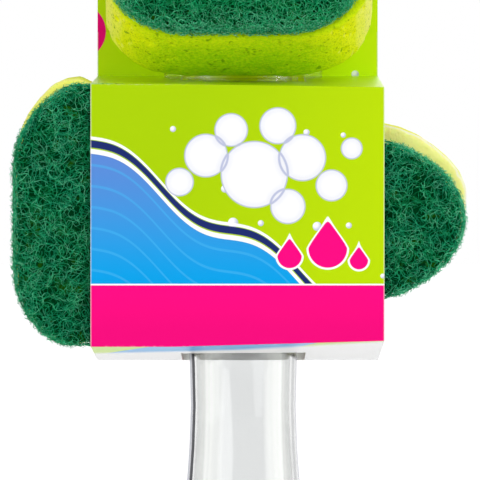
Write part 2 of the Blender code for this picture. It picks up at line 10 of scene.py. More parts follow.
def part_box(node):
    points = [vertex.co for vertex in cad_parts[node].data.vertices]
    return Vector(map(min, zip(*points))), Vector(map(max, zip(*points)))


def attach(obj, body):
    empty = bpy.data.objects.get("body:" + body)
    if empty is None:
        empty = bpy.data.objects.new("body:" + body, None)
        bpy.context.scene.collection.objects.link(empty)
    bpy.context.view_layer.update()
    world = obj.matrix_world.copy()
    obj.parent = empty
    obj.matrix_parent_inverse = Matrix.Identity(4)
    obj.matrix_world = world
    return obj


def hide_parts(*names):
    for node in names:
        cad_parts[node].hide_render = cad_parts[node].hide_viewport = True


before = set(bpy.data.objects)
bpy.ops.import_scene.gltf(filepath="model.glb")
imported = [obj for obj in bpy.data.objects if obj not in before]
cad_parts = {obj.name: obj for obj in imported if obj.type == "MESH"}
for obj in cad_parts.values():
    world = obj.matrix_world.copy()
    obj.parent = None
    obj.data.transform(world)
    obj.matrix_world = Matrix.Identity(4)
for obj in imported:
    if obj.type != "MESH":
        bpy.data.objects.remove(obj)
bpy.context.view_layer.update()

mm = 0.001


# shader sums

def plug(tree, place, value):
    if isinstance(value, Wire):
        tree.links.new(value.socket, place)
    elif place.type == "RGBA" and len(value) == 3:
        place.default_value = (*value, 1)
    else:
        place.default_value = value


class Wire:     # a node's output that Python can count with
    def __init__(self, tree, socket):
        self.tree = tree
        self.socket = socket

    def sum(self, operation, *values):
        node = self.tree.nodes.new("ShaderNodeMath")
        node.operation = operation
        for place, value in zip(node.inputs, values):
            plug(self.tree, place, value)
        return Wire(self.tree, node.outputs[0])

    def __add__(self, other): return self.sum("ADD", self, other)
    def __radd__(self, other): return self.sum("ADD", other, self)
    def __sub__(self, other): return self.sum("SUBTRACT", self, other)
    def __rsub__(self, other): return self.sum("SUBTRACT", other, self)
    def __mul__(self, other): return self.sum("MULTIPLY", self, other)
    def __rmul__(self, other): return self.sum("MULTIPLY", other, self)
    def __truediv__(self, other): return self.sum("DIVIDE", self, other)
    def __pow__(self, other): return self.sum("POWER", self, other)
    def __neg__(self): return self.sum("MULTIPLY", self, -1)
    def __abs__(self): return self.sum("ABSOLUTE", self)
    def __gt__(self, other): return self.sum("GREATER_THAN", self, other)
    def __lt__(self, other): return self.sum("LESS_THAN", self, other)
    def least(self, other): return self.sum("MINIMUM", self, other)
    def most(self, other): return self.sum("MAXIMUM", self, other)
    def sine(self): return self.sum("SINE", self)
    def fraction(self): return self.sum("FRACT", self)


class Finish:   # a material while its nodes are being laid
    def __init__(self, name):
        self.material = bpy.data.materials.new(name)
        self.material.use_nodes = True
        self.tree = self.material.node_tree
        self.tree.nodes.clear()

    def add(self, kind, settings=None, sockets=None, out=0):
        node = self.tree.nodes.new("ShaderNode" + kind)
        for name, value in (settings or {}).items():
            if name == "stops":
                ramp = node.color_ramp.elements
                while len(ramp) < len(value):
                    ramp.new(0.5)
                for stop, (place, colour) in zip(ramp, value):
                    stop.position = place
                    stop.color = (*colour, 1)
            else:
                setattr(node, name, value)
        for name, value in (sockets or {}).items():
            plug(self.tree, node.inputs[name], value)
        return Wire(self.tree, node.outputs[out]) if node.outputs else None

    def place(self):    # where a point is, in millimetres
        coords = self.add("TexCoord", out="Object")
        return self.add("VectorMath", {"operation": "SCALE"}, {"Vector": coords, "Scale": 1000.0})

    def parts(self, vector):
        return [self.add("SeparateXYZ", sockets={0: vector}, out=axis) for axis in range(3)]

    def mix(self, share, first, second):
        return self.add("Mix", {"data_type": "RGBA"}, {0: share, 6: first, 7: second}, out=2)

    def ease(self, value, start, end):      # 0 at start, 1 at end, smooth between
        return self.add("MapRange", {"interpolation_type": "SMOOTHSTEP"},
                        {0: value, 1: start, 2: end})

    def grain(self, place, size, detail=2.0, rough=0.5):     # size in millimetres
        return self.add("TexNoise", {}, {"Vector": place, "Scale": 1 / size, "Detail": detail,
                                         "Roughness": rough})

    def bump(self, height, depth, strength=1.0, before=None):       # depth in millimetres
        sockets = {"Height": height, "Distance": depth * mm, "Strength": strength}
        if before is not None:
            sockets["Normal"] = before
        return self.add("Bump", sockets=sockets)

    def close(self, sockets):
        shader = self.add("BsdfPrincipled", sockets=sockets)
        self.add("OutputMaterial", sockets={"Surface": shader})
        return self.material


def tint(code):     # a colour as it looks on screen, given as linear light
    levels = [int(code[i:i + 2], 16) / 255 for i in (0, 2, 4)]
    return tuple(v / 12.92 if v < 0.04045 else ((v + 0.055) / 1.055) ** 2.4 for v in levels)


# camera, light and floor

view = {"eye": (0.0006, -1.3768, -0.165), "lens": 413.1, "sensor": 36.0, "near": 0.05}
lamps = {
    "keyLamp": {"at": (0.5, -1.1, 0.5), "size": 0.8, "watts": 6.4},
    "fillLamp": {"at": (-0.8, -1.0, 0.1), "size": 0.9, "watts": 4.4},
    "backLamp": {"at": (0.3, 1.1, 0.5), "size": 0.9, "watts": 5.0},
    "sideLamp": {"at": (1.25, -0.35, -0.3), "size": 1.3, "watts": 4.6},
}
lookAt = Vector((0, -0.03, -0.15))
surround = {"ambient": 0.5, "floorDepth": 0.31, "floorSize": 60, "floorLift": 0.72}


def faceTowards(obj, target):
    obj.rotation_euler = (target - obj.location).to_track_quat("-Z", "Y").to_euler()


def makeCamera():
    camera = bpy.data.objects.new("camera", bpy.data.cameras.new("camera"))
    bpy.context.scene.collection.objects.link(camera)
    camera.location = view["eye"]
    camera.rotation_euler = (math.pi / 2, 0, 0)
    camera.data.lens = view["lens"]
    camera.data.sensor_width = view["sensor"]
    camera.data.clip_start = view["near"]
    bpy.context.scene.camera = camera


def makeLamps():
    for name, lamp in lamps.items():
        data = bpy.data.lights.new(name, "AREA")
        data.shape = "DISK"
        data.size = lamp["size"]
        data.energy = lamp["watts"]
        obj = bpy.data.objects.new(name, data)
        bpy.context.scene.collection.objects.link(obj)
        obj.location = lamp["at"]
        faceTowards(obj, lookAt)


def seenDirectly(tree):     # 1 for rays that show the background, 0 for those that carry light
    rays = tree.nodes.new("ShaderNodeLightPath")
    camera, glossy, through = (Wire(tree, rays.outputs[name]) for name in
                               ("Is Camera Ray", "Is Glossy Ray", "Is Transmission Ray"))
    return camera.most(glossy).most(through)


def makeWorld():
    world = bpy.data.worlds.new("whiteRoom")
    world.use_nodes = True
    tree = world.node_tree
    tree.nodes.clear()
    shares = seenDirectly(tree)
    level = shares * (1 - surround["ambient"]) + surround["ambient"]
    background = tree.nodes.new("ShaderNodeBackground")
    background.inputs["Color"].default_value = (1, 1, 1, 1)
    plug(tree, background.inputs["Strength"], level)
    output = tree.nodes.new("ShaderNodeOutputWorld")
    tree.links.new(background.outputs[0], output.inputs["Surface"])
    bpy.context.scene.world = world


def makeFloor():
    bpy.ops.object.select_all(action="DESELECT")
    bpy.ops.mesh.primitive_plane_add(size=surround["floorSize"],
                                     location=(0, 0, -surround["floorDepth"]))
    floor = bpy.context.object
    floor.name = "floor"
    paint = Finish("paleFloor")
    share = seenDirectly(paint.tree)
    glow = paint.mix(share, (0, 0, 0), (surround["floorLift"],) * 3)
    floor.data.materials.append(paint.close({
        "Base Color": (0.8, 0.8, 0.8, 1), "Roughness": 0.9, "Specular IOR Level": 0.0,
        "Emission Color": glow, "Emission Strength": 1.0}))


makeCamera()
makeLamps()
makeWorld()
makeFloor()
print("camera, lamps, world and floor are set")


# shared modelling steps

mergeWithin = 0.000002     # a node's loose corners closer than this become one


def copyOfNode(node, name):     # the node's own shape as one closed mesh
    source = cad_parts[node]
    piece = bpy.data.objects.new(name, source.data.copy())
    bpy.context.scene.collection.objects.link(piece)
    piece.data.materials.clear()
    bpy.ops.object.select_all(action="DESELECT")
    piece.select_set(True)
    bpy.context.view_layer.objects.active = piece
    bpy.ops.object.mode_set(mode="EDIT")
    bpy.ops.mesh.select_all(action="SELECT")
    bpy.ops.mesh.customdata_custom_splitnormals_clear()
    bpy.ops.mesh.remove_doubles(threshold=mergeWithin)
    bpy.ops.object.mode_set(mode="OBJECT")
    return piece


def applyModifier(piece, kind, **settings):
    modifier = piece.modifiers.new(kind.title(), kind)
    for name, value in settings.items():
        setattr(modifier, name, value)
    bpy.context.view_layer.objects.active = piece
    bpy.ops.object.modifier_apply(modifier=modifier.name)


def points(piece):
    flat = np.zeros(len(piece.data.vertices) * 3)
    piece.data.vertices.foreach_get("co", flat)
    return flat.reshape(-1, 3)


def setPoints(piece, places):
    piece.data.vertices.foreach_set("co", places.astype(np.float32).ravel())
    piece.data.update()


def smooth(piece, degrees):
    bpy.ops.object.select_all(action="DESELECT")
    piece.select_set(True)
    bpy.context.view_layer.objects.active = piece
    bpy.ops.object.shade_smooth_by_angle(angle=math.radians(degrees))


def settle(piece, material, body, node=None):
    piece.data.materials.clear()
    piece.data.materials.append(material)
    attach(piece, body)
    if node:
        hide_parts(node)


def easeBetween(value, start, end):
    share = np.clip((value - start) / (end - start), 0, 1)
    return share * share * (3 - 2 * share)


# the print on the two cards: suds, waves and drops on lime

inks = {
    # beside the printed inks, the darker limes and the top-panel lime are painted shade and painted
    # light
    "lime": tint("BBDD00"), "limeShaded": tint("A9CF00"), "limeTopLit": tint("C8F600"),
    "limeHead": tint("D2FA00"), "limeHeadShaded": tint("C6EC00"),
    "cyan": tint("009FE6"), "violet": tint("5F86D4"), "ripple": tint("48B6EE"),
    "navy": tint("1B2A6B"), "magenta": tint("FC0080"), "magentaDeep": tint("F2007A"),
    "white": tint("FBFBFB"), "lilac": tint("B9BEDA"),
    "board": tint("E2DED4"), "boardBack": tint("F0EFEB"),
}
# suds and drops: across, up from the sleeve's lower fold, and radius, in millimetres
suds = ((4, 41, 8), (-7.5, 45.5, 5.2), (15.5, 45, 5.6), (-1.5, 51.6, 4), (9.6, 52.6, 4.4),
        (22.4, 38.4, 3.8), (-13.8, 39.2, 3.4), (27.2, 47.2, 2.6), (12, 33.4, 4.2))
drops = ((21.5, 23.4, 4.6), (12.4, 21.6, 2.9), (28.9, 20.6, 2.2))
pearl = {"radius": 0.55, "growth": 0.75, "shine": 0.35, "bareCells": 0.52}
wave = {     # each of its lines: how far above the water, half its width, and its ink
    "bulge": 2.6, "pace": 0.19, "ripples": 0.2, "rippleShare": 0.45, "edge": -35, "soft": 0.15,
    "lines": ((0.55, 0.65, "white"), (2.3, 0.95, "navy"), (3.7, 0.45, "white")),
}
card = {"fibre": 0.25, "grain": 0.35, "matt": 0.75, "gloss": 0.43, "coat": 0.04}


def away(u, v, at):
    du, dv = u - at[0], v - at[1]
    return (du * du + dv * dv) ** 0.5


def pearls(paint, ground, u, v, spread, seed):     # small round bubbles, one to a cell at most
    flat = paint.add("CombineXYZ", sockets={0: u + seed, 1: v + seed})
    cells = {"voronoi_dimensions": "2D"}
    sockets = {"Vector": flat, "Scale": 1 / spread, "Randomness": 0.75}
    middle = paint.add("TexVoronoi", cells, sockets, out="Position")
    chance = paint.add("TexVoronoi", cells, sockets, out="Color")
    offset = paint.add("VectorMath", {"operation": "SUBTRACT"}, {0: flat, 1: middle})
    du, dv, _ = paint.parts(offset)
    big, shown, _ = paint.parts(chance)
    radius = pearl["radius"] + pearl["growth"] * big * big
    shine = pearl["shine"] * radius     # the shine sits up and left of the middle
    fromMiddle = away(du, dv, (0, 0))
    fromShine = away(du, dv, (-shine, shine))
    sheen = paint.mix(paint.ease(fromShine / radius, 0.25, 1.45), inks["white"], inks["lilac"])
    share = paint.ease(radius - fromMiddle, -0.06, 0.06) * (shown > pearl["bareCells"])
    return paint.mix(share, ground, sheen)


def waveArt(paint, ground, u, v, height, fall, base):
    along = u - wave["edge"]
    top = height - fall * along + wave["bulge"] * (wave["pace"] * along).sine()
    above = v - top
    water = paint.mix(paint.ease(v, base + 6, base + 44), inks["cyan"], inks["violet"])
    ring = ((above + 5.2) * wave["ripples"]).fraction()
    ripple = paint.ease(abs(ring - 0.5), 0.09, 0.03) * wave["rippleShare"]
    water = paint.mix(ripple, water, inks["ripple"])
    art = paint.mix(paint.ease(above, 0.1, -0.1), ground, water)
    for middle, half, ink in wave["lines"]:
        line = paint.ease(abs(above - middle), half, half - wave["soft"])
        art = paint.mix(line, art, inks[ink])
    return art


def sudsArt(paint, art, u, v):
    inside = rims = None
    for at in suds:
        gap = away(u, v, at) - at[2]
        inside = gap if inside is None else inside.least(gap)
        rims = abs(gap) if rims is None else rims.least(abs(gap))
    foam = paint.mix(paint.ease(rims, 0.42, 0.12), inks["white"], inks["lilac"])
    foam = paint.mix(paint.ease(rims, 2.6, 0.2) * 0.25, foam, inks["lilac"])
    return paint.mix(paint.ease(inside, 0.12, -0.12), art, foam)


def dropsArt(paint, art, u, v):
    for at in drops:
        du, dv = u - at[0], v - at[1]
        tip = (dv / (2 * at[2])).most(0).least(1)     # drawn out to a point above
        narrowed = du / (1 - 0.82 * tip)
        reach = dv * (1 - 0.4 * tip)
        gap = (narrowed * narrowed + reach * reach) ** 0.5 - at[2]
        art = paint.mix(paint.ease(gap, 0.55, 0.4), art, inks["white"])
        art = paint.mix(paint.ease(gap, 0.06, -0.06), art, inks["magenta"])
    return art


def cardStock(paint, place, printed, art, sag):     # sag is the size of the board's waves
    fibres = paint.grain(place, card["fibre"], 4, 0.7)
    board = paint.mix(fibres, inks["board"], inks["boardBack"])
    wavy = paint.bump(paint.grain(place, sag, 1), 0.25, 0.5)
    laid = paint.bump(paint.grain(place, card["grain"], 3, 0.6), 0.006, 0.5, wavy)
    cloud = paint.grain(place, 3, 3) - 0.5
    return paint.close({"Base Color": paint.mix(printed, board, art),
                        "Roughness": card["matt"] - card["gloss"] * printed + 0.08 * cloud,
                        "Normal": laid, "Specular IOR Level": 0.06,
                        "Coat Weight": printed * card["coat"], "Coat Roughness": 0.12})


header = {"face": 0.1, "disc": (-39.9, -112.9, 7.0), "bareFrom": -126.0, "sag": 26,
          "pearls": (9.5, 80.0), "wave": (-6.0, -0.16, -30.0)}


def headerArt(paint, u, z):     # the back card's print, which the glued flap carries on
    # painted light and shade: the lime is darker on the left and lighter to the right, where the
    # light falls
    art = paint.mix(paint.ease(u, -34, 30), inks["limeHeadShaded"], inks["limeHead"])
    art = pearls(paint, art, u, z, *header["pearls"])
    disc = away(u, z, header["disc"]) - header["disc"][2]
    return paint.mix(paint.ease(disc, 0.1, -0.1), art, inks["magenta"])


sleeve = {"front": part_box("sleeve_card")[0].y / mm, "shoulder": -127.9, "floor": -190.4,
          "flapFoot": -124.0, "middleForward": -32.0, "middleHigh": -159.0, "bandTop": 14.6,
          "sag": 22, "pearls": (10.5, 40.0), "wave": (46.0, 0.62, 8.0),
          "edge": (34.7, 34.95), "foldWidth": (0.28, 0.05), "stripe": (20.5, 19.5)}


def sleevePrint():
    paint = Finish("sleevePrint")
    place = paint.place()
    u, y, z = paint.parts(place)
    v = z - sleeve["floor"]
    nx, ny, nz = paint.parts(paint.add("NewGeometry", out="Normal"))
    front, bandTop = sleeve["front"], sleeve["bandTop"]

    # painted light and shade: the lime ground is darker at the lower left and lighter towards the
    # upper right, where the light falls
    art = paint.mix(paint.ease(u - 0.4 * v, -40, 30), inks["limeShaded"], inks["lime"])
    art = pearls(paint, art, u, v, *sleeve["pearls"])
    art = waveArt(paint, art, u, v, *sleeve["wave"])
    art = sudsArt(paint, art, u, v)
    art = dropsArt(paint, art, u, v)
    band = paint.mix(paint.ease(v, 2, 14), inks["magentaDeep"], inks["magenta"])
    art = paint.mix(paint.ease(abs(v - bandTop), 0.45, 0.3), art, inks["white"])
    art = paint.mix(paint.ease(v, bandTop + 0.1, bandTop - 0.1), art, band)

    # painted light: the top panel is laid in a brighter lime, lighter towards its back, for the
    # light falling on it from above
    top = paint.mix(paint.ease(y, front + 8, -8), inks["lime"], inks["limeTopLit"])
    art = paint.mix(nz > 0.6, art, top)
    inward = y - front     # the bottom panel: a slanting stripe that ends in white
    stripe = paint.ease(abs(u + 0.35 * inward + 1), *sleeve["stripe"])
    under = paint.mix(stripe, inks["lime"], inks["cyan"])
    reach = 34 - 0.42 * (u + 35)
    under = paint.mix(paint.ease(inward, reach - 9, reach + 3), under, inks["white"])
    art = paint.mix(nz < -0.6, art, under)
    flap = z > sleeve["flapFoot"]
    art = paint.mix(flap, art, headerArt(paint, u, z))

    outwards = ny * (y - sleeve["middleForward"]) + nz * (z - sleeve["middleHigh"])
    printed = (outwards > 0).most(flap * (ny < -0.5)) * (abs(nx) < 0.5)
    upperFold, lowerFold = (paint.ease(abs(z - sleeve[fold]), *sleeve["foldWidth"])
                            for fold in ("shoulder", "floor"))
    foldWear = upperFold.most(lowerFold) * (y < front + 1.2)
    scuffed = paint.ease(paint.grain(place, 0.9, 3, 0.6), 0.5, 0.62) * foldWear * 0.25
    edgeWear = paint.ease(abs(u), *sleeve["edge"]) * (0.3 + 0.4 * paint.grain(place, 1.4, 3, 0.6))
    art = paint.mix(scuffed.most(edgeWear), art, inks["boardBack"])
    return cardStock(paint, place, printed, art, sleeve["sag"])


def headerPrint():
    paint = Finish("headerPrint")
    place = paint.place()
    u, y, z = paint.parts(place)
    art = headerArt(paint, u, z)
    art = waveArt(paint, art, u, -z, *header["wave"])
    art = paint.mix(z < header["bareFrom"], art, inks["white"])
    return cardStock(paint, place, y < header["face"], art, header["sag"])


for node, material in (("sleeve_card", sleevePrint()), ("header_card", headerPrint())):
    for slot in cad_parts[node].material_slots:
        slot.material = material
print("the cards are printed")


# moulded pieces keep their own shape, with rounded shading

handle = {     # heights in millimetres, and how far the wall turns from the eye, from 0 to 1
    "axis": sum(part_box("cap_gasket"), Vector()) / 2 / mm,
    "footEnd": (-130, -126), "footTop": (-113, -120), "gripFrom": (-124, -130), "footThin": 0.85,
    "highlightStreak": (0.2, 0.115, 0.075), "flank": ((0.29, 0.33), (0.6, 0.54)), "shade": (0.45, 0.68),
    "wall": (0.565, 0.595), "band": (0.7, 0.735), "lip": (0.78, 0.86), "rim": (0.68, 0.84),
}


def clearPlastic():
    paint = Finish("clearPlastic")
    place = paint.place()
    flow = paint.bump(paint.grain(place, 9, 2), 0.05, 0.35)
    facing = paint.add("LayerWeight", {}, {"Blend": 0.5}, out="Facing")
    x, y, z = paint.parts(place)
    nx, ny, _ = paint.parts(paint.add("NewGeometry", out="Normal"))
    inside = paint.add("NewGeometry", out="Backfacing")
    axis = handle["axis"]
    outer = ((x - axis.x) * nx + (y - axis.y) * ny > 0) * (1 - inside)     # the outer wall only
    # painted highlight: a paler streak where the wall is seen at a set angle
    middle, *soft = handle["highlightStreak"]
    colour = paint.mix(paint.ease(abs(facing - middle), *soft), tint("E7E8E8"), tint("F6F7F5"))
    # painted shade: a grey band on the outer wall where it is seen aslant
    rising, falling = handle["flank"]
    flank = outer * paint.ease(facing, *rising) * paint.ease(facing, *falling)
    colour = paint.mix(flank, colour, tint("CACBC9"))
    colour = paint.mix(paint.ease(facing, *handle["shade"]), colour, tint("D2D4D6"))
    haze = 0.01 + 0.03 * paint.grain(place, 14, 2)
    foot = paint.ease(z, *handle["footEnd"]) * paint.ease(z, *handle["footTop"])
    clear = 1 - handle["footThin"] * foot     # the foot is nearly unseen against the card
    glass = paint.add("BsdfPrincipled", sockets={
        "Base Color": colour, "Roughness": haze, "Normal": flow, "Transmission Weight": 1.0,
        "IOR": 1.46, "Alpha": clear})
    left = x < axis.x
    wall = paint.ease(facing, *handle["wall"]) * (0.3 + 0.68 * left)     # painted shade: a dark line for the wall's inner edge, darker on the left
    band = paint.ease(facing, *handle["band"])
    lip = paint.ease(facing, *handle["lip"])
    turned = paint.ease(facing, *handle["rim"])
    grip = (wall * (1 - band)).most(band * (0.06 + 0.74 * left)).most(lip * 0.7) * outer
    grip = grip.most(turned * 0.2)
    edge = turned * 0.85 * clear
    low = paint.ease(z, *handle["gripFrom"])
    edge = edge + (grip - edge) * low
    # painted shade and painted reflection: dark lines and rims, and a pale band low on the grip,
    # laid over the glass by the viewing angle
    rim = paint.add("BsdfPrincipled", sockets={
        "Base Color": paint.mix(low * band, tint("2E3038"), tint("C4C5D2")), "Roughness": 0.3,
        "Specular IOR Level": 0.1})
    shader = paint.add("MixShader", sockets={0: edge, 1: glass, 2: rim})
    paint.add("OutputMaterial", sockets={"Surface": shader})
    return paint.material


def mouldedPlastic(name, colour, roughness, transmission=0.0):
    paint = Finish(name)
    place = paint.place()
    cloud = paint.grain(place, 6, 3)
    shade = paint.mix(cloud, tuple(v * 0.95 for v in colour), colour)
    speckle = paint.bump(paint.grain(place, 0.22, 2), 0.01, 0.6)
    return paint.close({"Base Color": shade, "Roughness": roughness + 0.12 * cloud,
                        "Normal": speckle, "Transmission Weight": transmission, "IOR": 1.45})


plastics = {
    "clear": clearPlastic(),
    "fitting": mouldedPlastic("whiteFitting", tint("EDEEEE"), 0.28),
    "silicone": mouldedPlastic("milkySilicone", tint("E8EAEA"), 0.45, 0.35),
    "rubber": mouldedPlastic("blackRubber", tint("26262A"), 0.55),
    "base": mouldedPlastic("whiteBase", tint("E9ECE8"), 0.42),
    "cap": mouldedPlastic("whiteCap", tint("F0F1F1"), 0.32),
}
mouldings = {
    "handle_bottle": ("wand", "clear", "clear_plastic", 35),
    "spout_insert": ("wand", "fitting", "fitting_plastic", 35),
    "valve_ring": ("wand", "fitting", "fitting_plastic", 35),
    "dosing_valve": ("wand", "silicone", "valve_silicone", 35),
    "spout_o_ring": ("wand", "rubber", "seal_rubber", 60),
    "cap_gasket": ("cap_washer", "rubber", "seal_rubber", 35),
    "fitted_head_base": ("fitted_head", "base", "base_plastic", 35),
    "spare_head_base": ("spare_head", "base", "base_plastic", 35),
    "refill_cap": ("cap", "cap", "cap_plastic", 30),
}
for node, (body, plastic, slot, degrees) in mouldings.items():
    piece = copyOfNode(node, node + "_moulding")
    smooth(piece, degrees)
    settle(piece, plastics[plastic], body, node)
print("the mouldings are in place")


# foam and scouring pads

heads = {
    "fitted": {"body": "fitted_head", "out": Vector((0, -0.91355, 0.40674)), "seed": 11},
    "spare": {"body": "spare_head", "out": Vector((0, -0.99863, -0.05234)), "seed": 23},
}
swell = {     # metres, and for each pad rows of x, up and down in millimetres past its solid
    "middle": (-0.168, -0.150), "free": (0.0358, 0.042), "left": -0.0005, "right": 0.0009,
    "foamTip": 0.0014, "foamTipFrom": (0.046, 0.056),
    "foam": ((-56, 0.6, -0.6), (-50, 1.0, -0.6), (-46, 1.5, -0.8), (-43, 2.2, -0.9),
             (-38, 2.2, -0.8), (-35, 0.8, 0.0), (15, 0.0, 0.0), (28, 2.2, -1.0),
             (35.6, 3.3, -1.2), (40, 3.1, -0.9), (45, 2.9, -0.6), (51, 2.7, -0.6), (56, 3.4, -0.6)),
    "scourer": ((-56, -0.6, -0.6), (-50, -1.2, -0.8), (-46, -1.0, -1.0), (-42, 0.0, -0.9),
                (-38, 0.8, -0.8), (-35, 0.6, 0.0), (22, 0.0, 0.0), (30, 0.0, -1.8),
                (36, -0.3, -1.9), (42, -1.4, -0.7), (48, -1.3, -0.6), (56, -1.5, -0.4)),
}
heel = {"drop": Vector((0, -0.0005, -0.0016)), "from": -0.105, "full": -0.125, "wider": 0.032,
        "shift": 0.0009, "padNarrow": 0.945, "padDown": Vector((0, -0.0003, -0.0007))}


def swellSpare(places, isFoam):     # squeezed by the sleeve, and free on both sides of it
    at, up, down = np.array(swell["foam" if isFoam else "scourer"]).T * mm
    upper = easeBetween(places[:, 2], *swell["middle"])
    rise = np.interp(places[:, 0], at, up) * upper
    sink = np.interp(places[:, 0], at, down) * (1 - upper)
    places = places.copy()
    places[:, 2] += rise + sink
    places[:, 0] += swell["left"] * easeBetween(-places[:, 0], *swell["free"])
    places[:, 0] += swell["right"] * easeBetween(places[:, 0], *swell["free"])
    if isFoam:
        places[:, 0] += swell["foamTip"] * easeBetween(places[:, 0], *swell["foamTipFrom"]) * upper
    return places


def settleHeel(places, isFoam):     # the fitted head's foam sags and spreads at its heel
    places = places.copy()
    if not isFoam:
        places[:, 0] *= heel["padNarrow"]
        return places + np.array(heel["padDown"])
    share = easeBetween(-places[:, 2], -heel["from"], -heel["full"])
    places[:, 0] = places[:, 0] * (1 + heel["wider"] * share) + heel["shift"]
    return places + np.outer(share, heel["drop"])


zones = {     # where on the foams a tone starts and where it is full, in millimetres
    "litSides": (16, 30), "litRight": (22, 40), "glowFront": (62, 64), "padShade": (9.8, 11.6),
    "lowShade": {"z": (-109, -123), "x": (6, 27)}, "lowShadeDeep": {"z": (-115, -125), "x": (14, 34)},
    "flank": (0.64, 1.0),     # this one by how far the skin faces left or right
}
poreSize = {"fine": 0.62, "coarse": 1.9}


def foamFinish(name, side, fresh):
    paint = Finish(name)
    place = paint.place()
    x, y, z = paint.parts(place)
    out = heads[side]["out"]
    height = y * out.y + z * out.z     # across the foam, towards its pad
    fine, coarse = (paint.add("TexVoronoi", {"feature": "F1"},
                              {"Vector": place, "Scale": 1 / size, "Randomness": 1.0})
                    for size in poreSize.values())
    pores = paint.ease(fine, 0.42, 0.12)
    pits = paint.ease(coarse, 0.22, 0.06)
    cloud = paint.ease(paint.grain(place, 5, 3, 0.6), 0.38, 0.62)
    mottle = paint.ease(paint.grain(place, 0.9, 4, 0.65), 0.36, 0.64)
    skin = paint.mix(cloud, tint("D0EE00"), tint("E8F800"))
    litSides = paint.ease(abs(x), *zones["litSides"])     # painted light: yellower and paler towards both sides
    skin = paint.mix(litSides * 0.8, skin, tint("FCFF00"))
    nx, ny, _ = paint.parts(paint.add("NewGeometry", out="Normal"))
    pale = paint.ease(abs(nx), *zones["flank"]) * (0.36 + 0.14 * (x > 0))     # painted light: paler where the skin faces left or right, more so on the right
    skin = paint.mix(pale * (1 - fresh), skin, tint("FFFFB0"))
    # painted shade: greener low in the middle of the heel, where shade falls and the green pad
    # lights the foam
    for shaded, share, colour in (("lowShade", 0.7, "ACE200"), ("lowShadeDeep", 0.4, "6CBC00")):
        low, wide = zones[shaded]["z"], zones[shaded]["x"]
        shadedness = paint.ease(z, *low) * (1 - paint.ease(abs(x), *wide)) * (1 - fresh)
        skin = paint.mix(shadedness * share, skin, tint(colour))
    skin = paint.mix(mottle * 0.45, skin, tint("F4FC18"))
    # painted shade: the pores, pits and holes are painted darker green for the shade in their
    # hollows
    skin = paint.mix(pores * 0.5, skin, tint("94BC00"))
    skin = paint.mix(pits * (0.5 - fresh), skin, tint("84AC00"))
    holes = paint.ease(paint.grain(place, 2.6, 2, 0.5), 0.66, 0.73)
    skin = paint.mix(holes * 0.75, skin, tint("6CA000"))
    dust = paint.ease(paint.grain(place, 0.5, 4, 0.7), 0.64, 0.72)
    skin = paint.mix(dust * 0.35, skin, tint("F8FA70"))
    if fresh:
        # the fresh foam is paler in its own colour; painted light makes it paler still on the right
        # and on its front face, with a painted highlight along that face
        right = paint.ease(x, *zones["litRight"])
        front = paint.ease(ny, -0.02, -0.2) * paint.ease(height, *zones["glowFront"])
        skin = paint.mix(fresh * (0.6 + 0.4 * front) + 0.42 * right * front, skin, tint("FFFFA0"))
        rimHighlight = paint.ease(ny, -1.0, -0.5) * front * (0.1 + 0.6 * right)
        skin = paint.mix(rimHighlight, skin, tint("FFFFE4"))
    else:
        # painted shade: greener next to the pad, for the shade and the green light from the pad
        skin = paint.mix(paint.ease(height, *zones["padShade"]) * 0.6, skin, tint("A8D800"))
    rough = 0.35 if fresh else 0.8
    relief = paint.bump(1 - fine, 0.28, rough)
    relief = paint.bump(1 - pits, 0.5, rough, relief)
    return paint.close({"Base Color": skin, "Roughness": 0.85, "Normal": relief,
                        "Specular IOR Level": 0.1, "Subsurface Weight": 0.5 if fresh else 0.12,
                        "Subsurface Radius": (0.6, 1.0, 0.3),
                        "Subsurface Scale": 0.005 if fresh else 0.002})


foamWork = {"voxel": 0.0006, "pores": 420, "poreRadius": (0.0008, 0.0016), "ripple": 0.00022,
            "rippleSize": 0.006}


def makeFoam(side, material):
    head = heads[side]
    node = side + "_sponge"
    piece = copyOfNode(node, node + "_foam")
    applyModifier(piece, "REMESH", mode="VOXEL", voxel_size=foamWork["voxel"],
                  use_smooth_shade=True)
    places = points(piece)
    places = (swellSpare if side == "spare" else settleHeel)(places, True)
    normals = np.zeros(len(places) * 3)
    piece.data.vertices.foreach_get("normal", normals)
    normals = normals.reshape(-1, 3)
    rng = np.random.default_rng(head["seed"])
    tree = KDTree(len(places))
    for i, place in enumerate(places):
        tree.insert(place, i)
    tree.balance()
    sunk = np.zeros(len(places))
    low, high = foamWork["poreRadius"]
    for i in rng.choice(len(places), foamWork["pores"], replace=False):
        radius = low + (high - low) * rng.random() ** 3
        depth = radius * (0.35 + 0.35 * rng.random())
        for _, k, gap in tree.find_range(places[i], radius):
            sunk[k] = max(sunk[k], depth * (1 - (gap / radius) ** 2))
    for i, place in enumerate(places):
        sunk[i] += foamWork["ripple"] * (0.5 + noise.noise(Vector(place) / foamWork["rippleSize"]))
    setPoints(piece, places - normals * sunk[:, None])
    settle(piece, material, head["body"], node)


fibreWork = {
    "fitted": {"count": 10500, "frizz": 2200, "proud": 0.0007, "glint": 0.28},
    "spare": {"count": 10500, "frizz": 5200, "proud": 0.0002, "glint": 0.22},
    "segments": 8, "step": 0.00065, "radius": (0.00006, 0.00010), "deep": 0.0013,
    "curl": (0.0, 0.5), "jitter": 0.6, "wave": 0.00035, "tilt": 0.0003, "rimShare": 1.5,
    "patch": 0.0045, "hollow": 0.0032, "coreDepth": 0.0010, "glued": 0.0004, "glueGap": 0.00035,
}
strandTone = {"middle": 0.61, "shadePerDepth": 0.5, "perPatch": 0.4, "spread": 0.14,
              "rimSpread": 0.35, "rimShade": 0.22}
